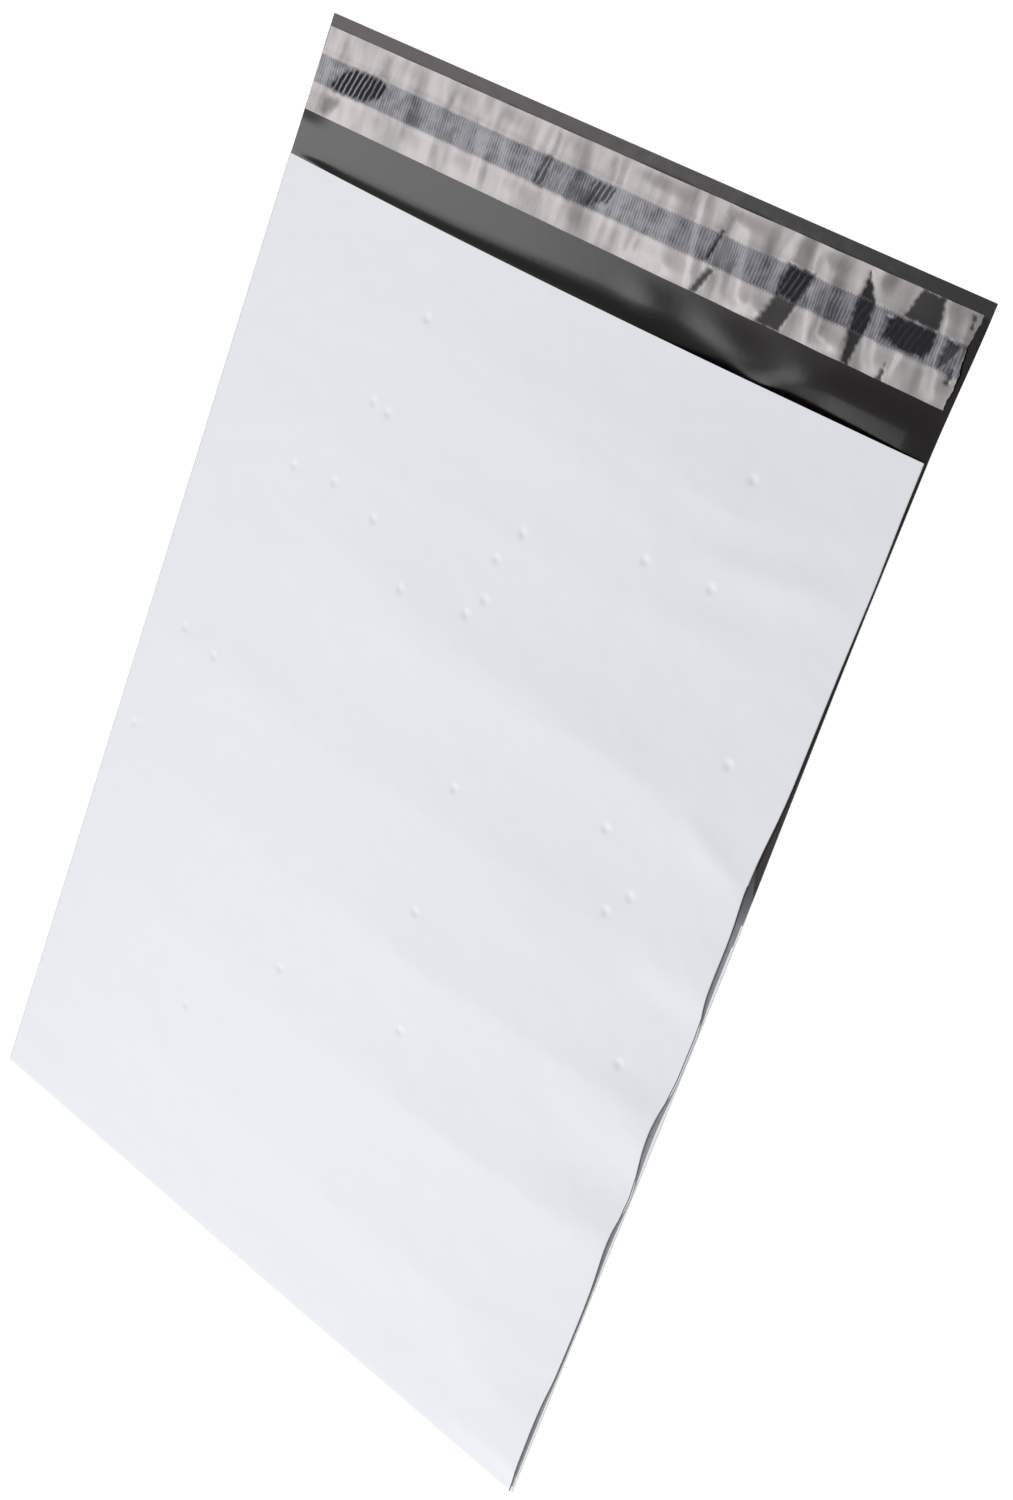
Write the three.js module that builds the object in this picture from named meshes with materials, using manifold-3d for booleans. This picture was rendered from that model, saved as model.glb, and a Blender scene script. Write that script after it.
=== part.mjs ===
// An empty poly mailer lying face up on a table: one web of film folded at the bottom and welded up
// both sides, its mouth open a little, its longer back panel running on as the closing flap.
// The flap carries a stripe of hot-melt adhesive under a peel-off release liner.
// Millimetres, +Z up. The origin is on the table under the middle of the bag, +X runs across it and
// +Y runs from the bottom fold to the free edge of the flap.

import * as THREE from "three";
import { mergeVertices } from "three/addons/utils/BufferGeometryUtils.js";
import Module from "manifold-3d";

const { smoothstep, lerp, clamp } = THREE.MathUtils;

// Cut sizes of the bag
const bagWidth = 254;
const bodyLength = 336;
const flapLength = 45;
const filmThickness = 0.06;

// The weld along each side is a bead of melted film, with the two panels ending in the middle of it
const weldRadius = 0.2;
const weldGap = 0.12;
const curlReach = 45;

// How far the two panels stand apart, at the crown and at the middle of the bottom fold
const crownGap = 7.4;
const foldGap = 1.0;
const crownReach = 0.55 * bodyLength;

// The front panel keeps evenly spaced cross folds from its packing, and sags between them
const crossFoldPitch = 44;
const crossFoldSag = 0.3;
const crossFoldFade = 8;

// The front panel rolls over beside its right-hand weld, wider in soft ripples. A ripple's place is
// measured along the weld from the bottom fold.
const edgeRoll = 0.55;
const edgeRollSteepness = 0.8;
const edgeRollFade = 45;
const rightRipples = [
  { at: 20, wider: 0.9, reach: 28 },
  { at: 78, wider: 0.5, reach: 24 },
  { at: 120, wider: 1.0, reach: 28 },
  { at: 170, wider: 0.4, reach: 20 },
];

// From a pinch in that weld up to the mouth, the front panel stops short of the back panel's edge
const pinchFoot = 195;
const pinchPeak = 209;
const pinchHead = 246;
const pinchMargin = 2.4;
const weldMargin = 1.6;

// Towards the open mouth that side of the bag is drawn in
const drawIn = 1.0;
const drawInStart = 200;
const drawInEnd = 300;

// Bands of the flap's inner face, measured down from its free edge
const linerInset = 4;
const linerWidth = 26.5;
const linerThickness = 0.05;
const adhesiveInset = 12.6;
const adhesiveWidth = 9.1;
const adhesiveThickness = 0.1;
const adhesiveEdge = 0.6;
const layerClearance = 0.02;

// The adhesive and the liner stop short of the welds
const stripLeftMargin = 0.6;
const linerRightMargin = 2.4;
const adhesiveRightMargin = 5;

// The liner is puckered across its width
const pleatPitch = 7.6;
const pleatHeight = 0.55;
const pleatUnevenness = 0.45;

// Steps of the meshes
const columnCount = 22;
const edgeRollSteps = [1.6, 0.6, 0.15];
const rowsPerCrossFold = 4;
const foldSteps = 6;
const beadSides = 6;
const stepsPerPleat = 4;

// Colours
const filmWhite = 0xe4e7ec;
const adhesiveGrey = 0x55535a;
const linerSilver = 0xcdc5c0;

const totalLength = bodyLength + flapLength;
const bottomY = -totalLength / 2;
const mouthY = bottomY + bodyLength;
const flapEdgeY = totalLength / 2;
const filmHalf = bagWidth / 2 - weldRadius;
const linerLowY = flapEdgeY - linerInset - linerWidth;

// A ripple's smooth hump: 1 in its middle, 0 from its reach outwards
function hump(distance, reach) {
  const share = clamp(Math.abs(distance) / reach, 0, 1);
  return 0.5 + 0.5 * Math.cos(Math.PI * share);
}

// A panel that leaves the table towards a weld, as a share of the weld's height
function curl(distanceFromWeld) {
  return (1 - clamp(distanceFromWeld / curlReach, 0, 1)) ** 2;
}

// Middle of the back panel's film. Past the mouth the flap comes down flat before the liner starts.
function backHeight(x, y) {
  const flat = filmThickness / 2;
  const toWeld = weldRadius - weldGap / 2 - flat;
  const onBody = 1 - smoothstep(y, mouthY, linerLowY);
  return flat + toWeld * (curl(filmHalf + x) + curl(filmHalf - x)) * onBody;
}

// How far the front panel stops short of the back panel's right-hand edge
function rightMargin(y) {
  const along = y - bottomY;
  const abovePinch = smoothstep(along, pinchFoot, pinchPeak);
  const belowHead = clamp((pinchHead - along) / (pinchHead - pinchPeak), 0, 1) ** 1.5;
  return abovePinch * (weldMargin + pinchMargin * belowHead);
}

// How far the right-hand side is drawn in. The flap widens again to its free edge.
function rightDraw(y) {
  const towardsMouth = smoothstep(y - bottomY, drawInStart, drawInEnd);
  return drawIn * towardsMouth * (1 - smoothstep(y, mouthY, flapEdgeY));
}

// Places across the bag of points of the two panels, narrowed towards the right
function narrowed(x, inset) {
  const share = (x + filmHalf) / (2 * filmHalf);
  return x - inset * share ** 3;
}

function backPlace(x, y) {
  return narrowed(x, rightDraw(y));
}

function frontPlace(x, y) {
  return narrowed(x, rightDraw(y) + rightMargin(y));
}

// Rise of the front panel where it rolls over beside its right-hand weld
function rollHeight(x, y) {
  const along = y - bottomY;
  const widenings = rightRipples.map(({ at, wider, reach }) => wider * hump(along - at, reach));
  const width = widenings.reduce((sum, wider) => sum + wider, edgeRoll);
  const shortfall = 1 - clamp((filmHalf - x) / width, 0, 1);
  const fade = 1 - smoothstep(filmHalf - x, width, edgeRollFade);
  return edgeRollSteepness * width * Math.sqrt(1 - shortfall ** 2) * fade;
}

// Distance between the middles of the two films
function filmGap(x, y) {
  const across = 1 - (x / filmHalf) ** 2;
  const along = Math.sin((Math.PI / 2) * clamp((y - bottomY) / crownReach, 0, 1));
  return weldGap + across * lerp(foldGap, crownGap, along);
}

function frontHeight(x, y) {
  const swag = Math.abs(Math.sin((Math.PI * (y - bottomY)) / crossFoldPitch));
  const awayFromWelds = 1 - Math.abs(x / filmHalf) ** crossFoldFade;
  return backHeight(x, y) + filmGap(x, y) + rollHeight(x, y) - crossFoldSag * swag * awayFromWelds;
}

// A closed body through a row of equal sections. Each section is a ring whose first half runs along
// one face and whose second half comes back along the other, so its ends close as a strip.
// Every quad is split on the diagonal that rises in Y, so that near layers bend alike.
function loft(sections) {
  const ringSize = sections[0].length;
  const lastRing = sections.length - 1;
  const index = [];
  const at = (ring, i) => ring * ringSize + (i % ringSize);
  for (let ring = 0; ring < lastRing; ring++) {
    for (let i = 0; i < ringSize; i++) {
      const [a, b] = [at(ring, i), at(ring, i + 1)];
      const [c, d] = [at(ring + 1, i), at(ring + 1, i + 1)];
      const rising = sections[ring][i].y < sections[ring][(i + 1) % ringSize].y;
      index.push(...(rising ? [a, d, c, a, b, d] : [a, b, c, c, b, d]));
    }
  }
  for (let i = 0; i < ringSize / 2 - 1; i++) {
    const j = ringSize - 1 - i;
    index.push(at(0, i), at(0, j - 1), at(0, i + 1), at(0, i), at(0, j), at(0, j - 1));
    const [a, b] = [at(lastRing, i), at(lastRing, i + 1)];
    const [c, d] = [at(lastRing, j - 1), at(lastRing, j)];
    index.push(a, b, c, a, c, d);
  }
  const positions = sections.flat().flatMap((point) => point.toArray());
  const geometry = new THREE.BufferGeometry();
  geometry.setAttribute("position", new THREE.Float32BufferAttribute(positions, 3));
  geometry.setIndex(index);
  return geometry;
}

// Rows of the body from the bottom fold to the mouth, with one on every cross fold
const rowPitch = crossFoldPitch / rowsPerCrossFold;
const bodyRows = [rowPitch / 2];
for (let along = rowPitch; along < bodyLength - rowPitch / 2; along += rowPitch) bodyRows.push(along);
bodyRows.push(bodyLength);
const bodyYs = bodyRows.map((along) => bottomY + along);
const flapYs = [0.5, 1].map((share) => lerp(mouthY, linerLowY, share)).concat(flapEdgeY);

// Section of the film at one place across the bag: down the front, round the fold, up the back and
// along the flap, then home along the inner face
function filmSection(x) {
  const radius = filmGap(x, bottomY) / 2;
  const foldY = bottomY + radius + filmThickness / 2;
  const foldZ = backHeight(x, bottomY) + radius;
  const middle = bodyYs.map((y) => [frontPlace(x, y), y, frontHeight(x, y), 0, 1]).reverse();
  for (let step = 0; step <= foldSteps; step++) {
    const angle = Math.PI * (0.5 + step / foldSteps);
    const [outY, outZ] = [Math.cos(angle), Math.sin(angle)];
    middle.push([x, foldY + radius * outY, foldZ + radius * outZ, outY, outZ]);
  }
  for (const y of [...bodyYs, ...flapYs]) middle.push([backPlace(x, y), y, backHeight(x, y), 0, -1]);
  const face = (side) =>
    middle.map(([placeX, y, z, outY, outZ]) => {
      const offset = (side * filmThickness) / 2;
      return new THREE.Vector3(placeX, y + outY * offset, z + outZ * offset);
    });
  return [...face(1), ...face(-1).reverse()];
}

// Places across the bag, closer together towards the welds and closest where the front panel rolls over
const columns = Array.from({ length: columnCount + 1 }, (_, i) => {
  const share = (2 * i) / columnCount - 1;
  return filmHalf * lerp(share, Math.sin((Math.PI / 2) * share), 0.5);
});
columns.splice(columnCount, 0, ...edgeRollSteps.map((step) => filmHalf - step));

// Bead of melted film along one side, from the fold to the mouth
function weldBead(placeAt) {
  const rings = [bottomY, ...bodyYs].map((y) =>
    Array.from({ length: beadSides }, (_, i) => {
      const angle = (2 * Math.PI * (i + 0.5)) / beadSides;
      const [outX, outZ] = [Math.cos(angle), Math.sin(angle)].map((out) => out * weldRadius);
      return new THREE.Vector3(placeAt(y) + outX / Math.cos(Math.PI / beadSides), y, weldRadius + outZ);
    }),
  );
  return loft(rings.reverse());
}

// The film's web and its two welds joined into one solid
const wasm = await Module();
wasm.setup();

function solidFrom(geometry) {
  const merged = mergeVertices(geometry);
  const vertProperties = merged.attributes.position.array;
  const triVerts = new Uint32Array(merged.index.array);
  return new wasm.Manifold(new wasm.Mesh({ numProp: 3, vertProperties, triVerts }));
}

function geometryFrom(solid) {
  const { vertProperties, triVerts } = solid.getMesh();
  const geometry = new THREE.BufferGeometry();
  geometry.setAttribute("position", new THREE.BufferAttribute(vertProperties, 3));
  geometry.setIndex(new THREE.BufferAttribute(triVerts, 1));
  return geometry;
}

function bagFilm() {
  const web = solidFrom(loft(columns.map(filmSection)));
  const leftWeld = solidFrom(weldBead(() => -filmHalf));
  const rightWeld = solidFrom(weldBead((y) => frontPlace(filmHalf, y)));
  return geometryFrom(web.add(leftWeld).add(rightWeld));
}

// Stripe of hot-melt, laid on the flap's inner face with its long edges thinned out
const adhesiveBase = filmThickness + layerClearance;
const adhesiveTop = adhesiveBase + adhesiveThickness;
const adhesiveHighY = flapEdgeY - adhesiveInset;
const adhesiveLowY = adhesiveHighY - adhesiveWidth;

function adhesiveStrip() {
  const section = (x) => [
    new THREE.Vector3(x, adhesiveHighY - adhesiveEdge, adhesiveTop),
    new THREE.Vector3(x, adhesiveLowY + adhesiveEdge, adhesiveTop),
    new THREE.Vector3(x, adhesiveLowY, adhesiveBase),
    new THREE.Vector3(x, adhesiveHighY, adhesiveBase),
  ];
  return loft([-filmHalf + stripLeftMargin, filmHalf - adhesiveRightMargin].map(section));
}

// Release liner over the adhesive, down on the flap at both edges and puckered along its length
function pucker(x) {
  const along = (Math.PI * (x + filmHalf)) / pleatPitch;
  const uneven = 1 - pleatUnevenness * (0.5 + 0.5 * Math.sin(0.37 * along));
  return pleatHeight * uneven * Math.sin(along) ** 2;
}

function linerSection(x) {
  const highY = flapEdgeY - linerInset;
  const onFlap = adhesiveBase;
  const onAdhesive = adhesiveTop + layerClearance;
  const profile = [
    { y: highY, z: onFlap },
    { y: lerp(highY, adhesiveHighY, 0.5), z: onFlap + 0.5 * pucker(x) },
    { y: adhesiveHighY, z: onAdhesive + pucker(x) },
    { y: adhesiveLowY, z: onAdhesive + pucker(x) },
    { y: lerp(linerLowY, adhesiveLowY, 0.5), z: onFlap + 0.5 * pucker(x) },
    { y: linerLowY, z: onFlap },
  ];
  const face = (lift) => profile.map(({ y, z }) => new THREE.Vector3(x, y, z + lift));
  return [...face(linerThickness), ...face(0).reverse()];
}

function releaseLiner() {
  const [left, right] = [-filmHalf + stripLeftMargin, filmHalf - linerRightMargin];
  const steps = Math.round(((right - left) / pleatPitch) * stepsPerPleat);
  const places = Array.from({ length: steps + 1 }, (_, i) => lerp(left, right, i / steps));
  return loft(places.map(linerSection));
}

function named(name, geometry, color, roughness) {
  geometry.computeVertexNormals();
  const material = new THREE.MeshStandardMaterial({ color, roughness, metalness: 0 });
  const mesh = new THREE.Mesh(geometry, material);
  mesh.name = name;
  return mesh;
}

const mailer = new THREE.Group();
mailer.name = "poly_mailer_bag";
mailer.add(
  named("bag_film", bagFilm(), filmWhite, 0.45),
  named("adhesive_strip", adhesiveStrip(), adhesiveGrey, 0.5),
  named("release_liner", releaseLiner(), linerSilver, 0.3),
);

export default mailer;
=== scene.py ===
import math

import bmesh
import bpy
import numpy as np
from mathutils import Matrix, Vector


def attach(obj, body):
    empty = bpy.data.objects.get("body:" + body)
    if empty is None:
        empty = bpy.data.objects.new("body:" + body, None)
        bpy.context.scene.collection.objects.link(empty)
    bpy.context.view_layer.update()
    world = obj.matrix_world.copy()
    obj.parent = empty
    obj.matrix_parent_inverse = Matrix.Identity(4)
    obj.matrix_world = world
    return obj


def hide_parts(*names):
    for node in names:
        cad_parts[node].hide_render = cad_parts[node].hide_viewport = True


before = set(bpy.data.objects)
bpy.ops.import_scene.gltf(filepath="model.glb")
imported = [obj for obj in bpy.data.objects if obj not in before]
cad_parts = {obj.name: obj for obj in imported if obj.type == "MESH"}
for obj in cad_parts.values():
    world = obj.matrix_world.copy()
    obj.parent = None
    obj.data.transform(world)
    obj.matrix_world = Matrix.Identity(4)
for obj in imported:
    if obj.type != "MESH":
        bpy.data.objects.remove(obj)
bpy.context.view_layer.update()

# Film web. One web of co-extruded polyethylene, white outside and black inside, folded across at the
# bottom and welded up both sides. The longer back panel runs on past the mouth as the closing flap.
# The bag lies empty on its back, with the front panel a few millimetres clear of it.

# Sizes of the bag are in millimetres. In its finishes, and for the table and lamps, they are in metres
MM = 0.001
BAG_WIDTH = 254.0
BODY_LENGTH = 336.0
FLAP_LENGTH = 45.0
FILM_THICKNESS = 0.06
WELD_RADIUS = 0.2
WELD_GAP = 0.12
BOTTOM_Y = -(BODY_LENGTH + FLAP_LENGTH) / 2
MOUTH_Y = BOTTOM_Y + BODY_LENGTH
FLAP_EDGE_Y = -BOTTOM_Y
FILM_HALF = BAG_WIDTH / 2 - WELD_RADIUS
LINER_INSET = 4.0
LINER_WIDTH = 26.5
LINER_LOW_Y = FLAP_EDGE_Y - LINER_INSET - LINER_WIDTH

# How far the panels stand apart, and from where the back panel curls up to its welds
CROWN_GAP = 7.4
FOLD_GAP = 1.0
CROWN_REACH = 0.55 * BODY_LENGTH
CURL_REACH = 45.0

# Shallow folds across the front panel, which bow a little, are shallower on the left and die out
# towards the welds and the bottom fold
CROSS_FOLD_PITCH = 44.0
CROSS_FOLD_SAG = 0.25
LEFT_SAG_SHARE = 0.55
SAG_SPAN = (-70, 70)
BOW = 2.0
BOW_ACROSS = 60.0
BOW_ALONG = 90.0
WELD_STIFFNESS = 8
FOLDS_START = 25.0

# Right-hand seam: places along it from the bottom fold, how far it runs inside the bag's edge there, and
# how high the front panel stands up beside it
SEAM = [
    (0, 0.9, 0.5), (9, 1.3, 0.8), (25, 1.5, 0.8), (33, 1.4, 0.6), (40, 0.8, 0.4), (53, 0.6, 0.35),
    (67, 0.6, 0.4), (76, 0.8, 0.5), (83, 1.3, 0.7), (90, 1.7, 0.9), (97, 1.3, 0.6), (103, 0.35, 0.08),
    (109, 0.3, 0.05), (116, 1.6, 0.5), (124, 2.4, 1.0), (131, 2.4, 1.0), (138, 1.5, 0.4),
    (144, 0.35, 0.08), (164, 0.3, 0.08), (171, 1.7, 0.8), (178, 2.0, 0.8), (185, 2.0, 0.7),
    (191, 2.0, 0.6), (197, 2.2, 0.7), (203, 2.7, 0.7), (209, 2.9, 0.7), (216, 2.6, 0.6),
    (223, 2.1, 0.55), (230, 1.45, 0.5), (240, 0.95, 0.5), (270, 0.65, 0.5), (300, 0.25, 0.5),
    (322, 0.65, 0.5), (336, 0.65, 0.5),
]
SEAM_PLACES, SEAM_INSETS, SEAM_RISES = zip(*SEAM)
SEAM_BLUR = (-3, -1, 1, 3)
SEAM_START = 8.0
LEAST_LIP = 0.06
LIP_RISE_SHARE = 0.75
SEAM_ROLL_WIDTH = 0.6
SEAM_ROLL_FADE = 45.0
PINCH_SPAN = (204, 216)
DRAW_IN = 1.3
DRAW_SPAN = (170, 300)

# Bends of the back panel's film round the mouth: a swell under the front panel, a ridge across the foot
# of the flap, a lifted corner on the left and a ripple. Spans are where one starts and ends across the bag
SWELL_SLOPE = 1.6 / 9
SWELL_REACH = 8.2
SWELL_WIDENING = 2.0
SWELL_WIDENING_SPAN = (-60, 20)
SWELL_INSIDE = 4.0
SWELL_SPANS = ((-127, -106), (20, 60))
RIDGE_HEIGHT = 1.0
RIDGE_PLACE = -2.0
RIDGE_SLANT = 8.5
RIDGE_SLANT_SPAN = (62, 92)
RIDGE_FRONT = 10.0
RIDGE_BACK = 5.5
RIDGE_ROUNDING = 0.02
RIDGE_SPANS = ((55, 75), (119, FILM_HALF))
CORNER_LIFT = 0.35
CORNER_INSIDE = 0.5
CORNER_REACH = 3.0
CORNER_SPANS = ((-127.3, -124), (-120, -104))
RIPPLE_HEIGHT = 0.16
RIPPLE_PITCH = 34.0
RIPPLE_PHASE = 45.0
RIPPLE_PLACE = 7.5
RIPPLE_REACH = 6.5
RIPPLE_SPANS = ((5, 30), (70, 95))

# Creases of the front panel: the ends of each crest as distances from the left edge and from the
# bottom fold, its height, and how far it falls away to either side
CREASES = [
    ((20, 239), (300, 209), 0.62, 40),
    ((222, 217), (268, 199), 0.55, 8),
    ((-10, 178), (85, 174), 0.25, 30),
    ((150, 166), (245, 160), 0.25, 30),
    ((95, 137), (275, 123), 0.36, 36),
    ((115, 92), (280, 84), 0.4, 40),
    ((168, 304), (246, 301), 0.24, 10),
    ((184, 286), (310, 294), 0.6, 11),
    ((80, 298), (225, 289), 0.34, 26),
    ((195, 36), (275, 14), 0.3, 22),
]
CREST_ROUNDING = 2.5
CREASE_WANDER = 1.5
CREASE_WANDER_LENGTH = 17.0
CREASE_FADE = 0.35

# Small dents of the front panel: where the camera sees them against the table, as distances from the
# left edge and from the bottom fold
DENTS = [
    (75, 309), (204, 311), (65, 278), (72, 277), (180, 276), (204, 278), (136, 265), (130, 254), (60, 249),
    (42, 247), (80, 245), (131, 241), (230, 236), (126, 234), (99, 230), (200, 200), (216, 186), (144, 184),
    (18, 179), (210, 178), (34, 176), (146, 142), (233, 140), (9, 139), (156, 105), (103, 97), (70, 64),
]
CAMERA_PLACE = (0.4437, 0.2536, 0.5896)
DENT_RADIUS = 2.2
DENT_DEPTH = 0.28
DENT_MARGIN = 1.6
DENT_CUTS = 2
SIGHT_PASSES = 3

# The film's finishes, in the order in which its mesh lists them. The third is painted shade on the lip
# beside the right-hand seam
OUTSIDE, INSIDE, LIP_SHADE = range(3)


def ease(value, low, high):
    """0 below low, 1 above high, and eased between."""
    share = np.clip((value - low) / (high - low), 0, 1)
    return share * share * (3 - 2 * share)


def between(value, start, end):
    """1 between two spans, eased in over the first and out over the second."""
    return ease(value, *start) * (1 - ease(value, *end))


def hump(distance, reach):
    """1 at no distance, falling in half a wave to 0 at its reach."""
    return 0.5 + 0.5 * np.cos(math.pi * np.clip(np.abs(distance) / reach, 0, 1))


def along_seam(y, values):
    """The seam's insets or rises at y, smoothed along the seam."""
    along = y - BOTTOM_Y
    return np.mean([np.interp(along + shift, SEAM_PLACES, values) for shift in SEAM_BLUR], 0)


def bared(y):
    """0 below the pinch and 1 above it, where the front panel stops at the seam and bares the back
    panel's black face."""
    return ease(y - BOTTOM_Y, *PINCH_SPAN)


def lip_width(y):
    """Width of the front panel's lip outside the seam, which ends at the pinch."""
    return along_seam(y, SEAM_INSETS) * (1 - bared(y))


def edge_roll(x, y):
    """Rise of the front panel, which curves up over its lip to the seam and rolls over beside it."""
    lip = np.maximum(lip_width(y), LEAST_LIP)
    from_seam = FILM_HALF - lip - x
    up_lip = np.clip((FILM_HALF - x) / lip, 0, 1) ** 2
    shortfall = 1 - np.clip(from_seam / SEAM_ROLL_WIDTH, 0, 1)
    height = along_seam(y, SEAM_RISES) * ease(y - BOTTOM_Y, 0, SEAM_START)
    height = height * (1 - ease(from_seam, SEAM_ROLL_WIDTH, SEAM_ROLL_FADE))
    return height * (LIP_RISE_SHARE * up_lip + (1 - LIP_RISE_SHARE) * np.sqrt(1 - shortfall**2))


def curl(distance):
    """Share of the rise to a weld, at a distance from it."""
    return (1 - np.clip(distance / CURL_REACH, 0, 1)) ** 2


def lying_height(x, y):
    """Middle of the back panel's film where it lies on the table and curls up to its welds."""
    flat = FILM_THICKNESS / 2
    on_body = 1 - ease(y, MOUTH_Y, LINER_LOW_Y)
    lift = (WELD_RADIUS - WELD_GAP / 2 - flat) * (curl(FILM_HALF + x) + curl(FILM_HALF - x))
    return flat + lift * on_body


def back_height(x, y):
    """The same with the film's bends round the mouth."""
    from_mouth = y - MOUTH_Y
    reach = SWELL_REACH + SWELL_WIDENING * ease(x, *SWELL_WIDENING_SPAN)
    swell = SWELL_SLOPE * reach * hump(from_mouth + SWELL_INSIDE, reach) * between(x, *SWELL_SPANS)
    crest = RIDGE_PLACE + RIDGE_SLANT * ease(x, *RIDGE_SLANT_SPAN)
    upward = np.clip((from_mouth - crest + RIDGE_FRONT) / RIDGE_FRONT, 0, 1)
    downward = np.clip((crest + RIDGE_BACK - from_mouth) / RIDGE_BACK, 0, 1)
    rounded = (upward + downward - np.sqrt((upward - downward) ** 2 + RIDGE_ROUNDING)) / 2
    ridge = RIDGE_HEIGHT * np.maximum(rounded, 0) * between(x, *RIDGE_SPANS)
    corner = CORNER_LIFT * hump(from_mouth + CORNER_INSIDE, CORNER_REACH) * between(x, *CORNER_SPANS)
    waves_across = 1 + np.sin(2 * math.pi * (x - RIPPLE_PHASE) / RIPPLE_PITCH)
    ripple = RIPPLE_HEIGHT * waves_across * between(x, *RIPPLE_SPANS)
    ripple = ripple * hump(from_mouth - RIPPLE_PLACE, RIPPLE_REACH)
    return lying_height(x, y) + swell + ridge + corner + ripple


def film_gap(x, y):
    """How far apart the middles of the two panels' films are."""
    side = np.where(x > 0, FILM_HALF - lip_width(y), FILM_HALF)
    across = np.maximum(1 - (x / side) ** 2, 0)
    along = np.sin(math.pi / 2 * np.clip((y - BOTTOM_Y) / CROWN_REACH, 0, 1))
    return WELD_GAP + across * (FOLD_GAP + (CROWN_GAP - FOLD_GAP) * along)


def crease(x, along, start, end, height, reach):
    """A crest that gets steeper towards its line, and fades at its ends."""
    share = (x - start[0]) / (end[0] - start[0])
    wander = CREASE_WANDER * np.sin(x / CREASE_WANDER_LENGTH + start[1])
    off_line = along - start[1] - share * (end[1] - start[1]) + wander
    rounded = np.sqrt(off_line**2 + CREST_ROUNDING**2) - CREST_ROUNDING
    fade = between(share, (0, CREASE_FADE), (1 - CREASE_FADE, 1))
    return height * fade * np.clip(1 - rounded / reach, 0, 1) ** 2


def front_height(x, y):
    """Middle of the front panel's film, in millimetres."""
    along = y - BOTTOM_Y
    bow = BOW * np.sin(x / BOW_ACROSS + along / BOW_ALONG)
    swag = np.abs(np.sin(math.pi * (along + bow) / CROSS_FOLD_PITCH))
    folds = -CROSS_FOLD_SAG * (LEFT_SAG_SHARE + (1 - LEFT_SAG_SHARE) * ease(x, *SAG_SPAN)) * swag
    folds = folds + sum(crease(x + BAG_WIDTH / 2, along, *line) for line in CREASES)
    clear_of_welds = 1 - np.abs(x / FILM_HALF) ** WELD_STIFFNESS
    height = lying_height(x, y) + film_gap(x, y) + edge_roll(x, y)
    return height + folds * clear_of_welds * ease(along, 0, FOLDS_START)


def narrowed(x, inset):
    """Moves the right-hand edge in, and the rest of the film less and less towards the left."""
    return x - inset * ((x + FILM_HALF) / (2 * FILM_HALF)) ** 3


def back_place(x, y):
    """Towards the open mouth the right-hand side is drawn in; the flap widens again to its free edge."""
    towards_mouth = ease(y - BOTTOM_Y, *DRAW_SPAN)
    return narrowed(x, DRAW_IN * towards_mouth * (1 - ease(y, MOUTH_Y, FLAP_EDGE_Y)))


def front_place(x, y):
    """The same for the front panel, which stops at the seam above the pinch."""
    return back_place(narrowed(x, along_seam(y, SEAM_INSETS) * bared(y)), y)


def row_places(y):
    """Places across the web in one row, closest where the front panel stands up from its seam."""
    lip = max(lip_width(y), LEAST_LIP)
    return np.concatenate([PLAIN_COLUMNS, FILM_HALF - lip - SEAM_STEPS, FILM_HALF - lip * LIP_SHARES])


def web_sheet(body_rows, back_rows, flap_rows, fold_steps):
    """Rows of points along the web's middle, and the direction out of it in section."""
    rows, outward = [], []
    for y in reversed(body_rows):
        x = row_places(y)
        rows.append(np.column_stack([front_place(x, y), np.full_like(x, y), front_height(x, y)]))
        outward.append((0, 1))
    x = row_places(BOTTOM_Y)
    radius = film_gap(x, BOTTOM_Y) / 2
    fold_y = BOTTOM_Y + radius + FILM_THICKNESS / 2
    fold_z = lying_height(x, BOTTOM_Y) + radius
    for step in range(fold_steps + 1):
        angle = math.pi * (0.5 + step / fold_steps)
        out_y, out_z = math.cos(angle), math.sin(angle)
        rows.append(np.column_stack([x, fold_y + radius * out_y, fold_z + radius * out_z]))
        outward.append((out_y, out_z))
    for y in [*back_rows, *flap_rows]:
        x = row_places(y)
        rows.append(np.column_stack([back_place(x, y), np.full_like(x, y), back_height(x, y)]))
        outward.append((0, -1))
    return np.array(rows), np.array(outward)


def closed_film(name, outer, inner, outer_slot, inner_slot):
    """A closed film from two matching grids of points in millimetres, joined round their rim."""
    rows, columns = outer.shape[:2]
    count = rows * columns
    ids = np.arange(count).reshape(rows, columns)
    corners = [ids[:-1, :-1], ids[1:, :-1], ids[1:, 1:], ids[:-1, 1:]]
    outer_faces = np.stack(corners, -1).reshape(-1, 4)
    rim = np.concatenate([ids[0, :], ids[1:, -1], ids[-1, -2::-1], ids[-2:0:-1, 0]])
    ahead = np.roll(rim, -1)
    rim_faces = np.stack([rim, ahead, ahead + count, rim + count], -1)
    faces = np.concatenate([outer_faces, outer_faces[:, [0, 3, 2, 1]] + count, rim_faces])
    slots = np.repeat([outer_slot, inner_slot, outer_slot], [len(outer_faces)] * 2 + [len(rim_faces)])
    points = np.concatenate([outer.reshape(-1, 3), inner.reshape(-1, 3)]) * MM
    mesh = bpy.data.meshes.new(name)
    mesh.from_pydata(points.tolist(), [], faces.tolist())
    mesh.polygons.foreach_set("material_index", slots.astype(np.int32))
    mesh.polygons.foreach_set("use_smooth", np.ones(len(faces), bool))
    ends = np.empty(2 * len(mesh.edges), np.int32)
    mesh.edges.foreach_get("vertices", ends)
    mesh.edges.foreach_set("use_edge_sharp", np.isin(ends.reshape(-1, 2) % count, rim).all(1))
    mesh.update()
    piece = bpy.data.objects.new(name, mesh)
    bpy.context.scene.collection.objects.link(piece)
    return piece


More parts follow.
